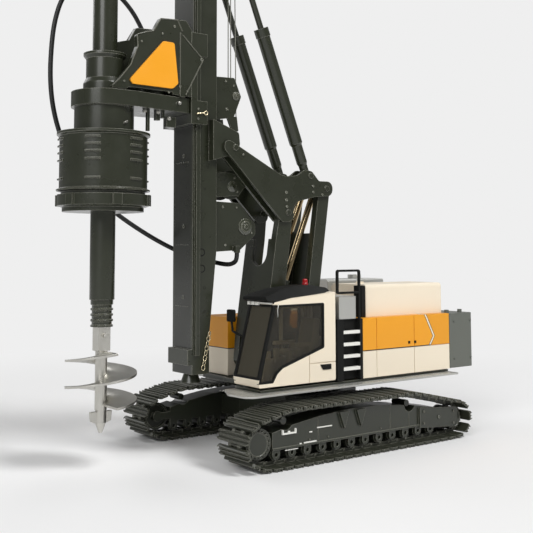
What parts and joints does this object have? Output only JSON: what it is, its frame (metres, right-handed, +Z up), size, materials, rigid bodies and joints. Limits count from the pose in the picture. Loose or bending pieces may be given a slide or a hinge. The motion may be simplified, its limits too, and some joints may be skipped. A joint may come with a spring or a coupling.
{
  "type": "scale model of a rotary piling rig",
  "caption": "Die-cast scale model of a tracked rotary piling rig: slewing upper carriage, parallel linkage, tilting leader, sliding drill head, Kelly bar and auger",
  "frame": {"origin": "middle of the bounding box, on the floor under the tracks; the slew axis stands 16.85 mm behind it", "axes": "+Z up along the leader, +X forward to the leader and drill head, +Y to the cab side"},
  "size_m": [0.206, 0.097, 0.6],
  "materials": {
    "rig_dark": "satin dark olive grey enamel on a die casting",
    "frame_dark": "satin dark grey enamel on a die casting",
    "track_dark": "matte dark grey moulded track",
    "cream": "satin cream enamel",
    "yellow": "satin yellow-orange enamel",
    "weight_grey": "satin mid grey enamel",
    "silver": "silver enamel",
    "black": "matte black moulding",
    "glass": "smoke-tinted clear moulding",
    "bright_metal": "bright turned metal",
    "white": "white moulding",
    "red": "red moulding with a white foot",
    "hose_black": "black rubber hose"
  },
  "bodies": {
    "undercarriage": {"car_body": "frame_dark", "slew_ring": "frame_dark", "track_frame_left": "frame_dark", "track_frame_right": "frame_dark", "track_left": "track_dark", "track_right": "track_dark", "track_wheels_left": "frame_dark", "track_wheels_right": "frame_dark", "track_rollers_left": "frame_dark", "track_rollers_right": "frame_dark"},
    "uppercarriage": {"deck": "frame_dark", "cab_shell": "cream", "cab_frame": "black", "cab_glass": "glass", "cab_seat": "black", "cab_roof": "black", "cab_lamps": "white", "beacon": "red", "mirror": "black", "ladder": "black", "ladder_rungs": "white", "side_housing_left": "yellow", "side_housing_right": "yellow", "engine_cover": "frame_dark", "tank": "cream", "silencer": "silver", "exhaust": "silver", "air_box": "silver", "handrail": "black", "counterweight": "weight_grey", "walkway_left": "silver", "walkway_right": "silver"},
    "front_link": {"front_link": "rig_dark"},
    "rear_link": {"rear_link": "rig_dark"},
    "rocker": {"rocker": "rig_dark"},
    "luff_barrels": {"luff_barrels": "rig_dark"},
    "luff_rods": {"luff_rods": "bright_metal"},
    "stay_barrels": {"stay_barrels": "rig_dark"},
    "stay_rods": {"stay_rods": "rig_dark"},
    "leader": {"leader": "rig_dark", "leader_head": "rig_dark", "hose": "hose_black"},
    "winch_upper": {"winch_upper": "rig_dark"},
    "winch_middle": {"winch_middle": "rig_dark"},
    "winch_lower": {"winch_lower": "rig_dark"},
    "sheave_front": {"sheave_front": "rig_dark"},
    "sheave_rear": {"sheave_rear": "rig_dark"},
    "sledge": {"sledge": "rig_dark", "sledge_panel_left": "yellow", "sledge_panel_right": "yellow", "gearbox": "rig_dark"},
    "drive": {"drive_sleeve": "rig_dark"},
    "kelly": {"kelly_bar": "rig_dark", "kelly_stub": "rig_dark", "tool_socket": "bright_metal", "auger": "bright_metal"}
  },
  "joints": [
    {"name": "slew", "type": "hinge", "parent": "undercarriage", "child": "uppercarriage", "pos_m": [-0.01685, 0, 0.026], "axis": [0, 0, 1], "continuous": true},
    {"name": "luff", "type": "hinge", "parent": "uppercarriage", "child": "front_link", "pos_m": [0.00815, 0, 0.037], "axis": [0, 1, 0], "range_deg": [-4, 16]},
    {"name": "rear_link_hinge", "type": "hinge", "parent": "uppercarriage", "child": "rear_link", "pos_m": [-0.01475, 0, 0.0487], "axis": [0, 1, 0], "range_deg": [-4.2, 16.2]},
    {"name": "rocker_hinge", "type": "hinge", "parent": "front_link", "child": "rocker", "pos_m": [-0.00145, 0, 0.1028], "axis": [0, 1, 0], "range_deg": [-16.2, 4.2]},
    {"name": "luff_barrel_hinge", "type": "hinge", "parent": "uppercarriage", "child": "luff_barrels", "pos_m": [0.00815, 0, 0.037], "axis": [0, 1, 0], "range_deg": [-5, 16]},
    {"name": "luff_rod_slide", "type": "slide", "parent": "luff_barrels", "child": "luff_rods", "axis": [-0.3867, 0, 0.9222], "range_m": [-0.009, 0.003]},
    {"name": "leader_tilt", "type": "hinge", "parent": "rocker", "child": "leader", "pos_m": [0.02765, 0, 0.1302], "axis": [0, 1, 0], "range_deg": [-15, 5]},
    {"name": "stay_barrel_hinge", "type": "hinge", "parent": "rocker", "child": "stay_barrels", "pos_m": [-0.01465, 0, 0.12], "axis": [0, 1, 0], "range_deg": [-13, 5]},
    {"name": "stay_rod_slide", "type": "slide", "parent": "stay_barrels", "child": "stay_rods", "axis": [0.3692, 0, 0.9293], "range_m": [-0.011, 0.005]},
    {"name": "winch_upper_spin", "type": "hinge", "parent": "leader", "child": "winch_upper", "pos_m": [0.02755, 0, 0.1524], "axis": [0, 1, 0], "continuous": true},
    {"name": "winch_middle_spin", "type": "hinge", "parent": "leader", "child": "winch_middle", "pos_m": [0.02455, 0, 0.1146], "axis": [0, 1, 0], "continuous": true},
    {"name": "winch_lower_spin", "type": "hinge", "parent": "leader", "child": "winch_lower", "pos_m": [0.02595, 0, 0.0956], "axis": [0, 1, 0], "continuous": true},
    {"name": "sheave_front_spin", "type": "hinge", "parent": "leader", "child": "sheave_front", "pos_m": [0.07755, 0, 0.59], "axis": [0, 1, 0], "continuous": true},
    {"name": "sheave_rear_spin", "type": "hinge", "parent": "leader", "child": "sheave_rear", "pos_m": [0.03015, 0, 0.5895], "axis": [0, 1, 0], "continuous": true},
    {"name": "sledge_travel", "type": "slide", "parent": "leader", "child": "sledge", "axis": [0, 0, 1], "range_m": [-0.06, 0.06]},
    {"name": "drive_spin", "type": "hinge", "parent": "sledge", "child": "drive", "pos_m": [0.08405, 0, 0.14], "axis": [0, 0, 1], "continuous": true},
    {"name": "kelly_travel", "type": "slide", "parent": "drive", "child": "kelly", "axis": [0, 0, 1], "range_m": [-0.08, 0.028]}
  ],
  "couplings": [
    {"joint": "rear_link_hinge", "follows": "luff", "ratio": 1},
    {"joint": "rocker_hinge", "follows": "luff", "ratio": -1},
    {"joint": "luff_barrel_hinge", "follows": "luff", "ratio": 0.7785},
    {"joint": "luff_rod_slide", "follows": "luff", "m_per_rad": -0.018093},
    {"joint": "stay_barrel_hinge", "follows": "leader_tilt", "ratio": 0.808},
    {"joint": "stay_rod_slide", "follows": "leader_tilt", "m_per_rad": 0.037289}
  ]
}
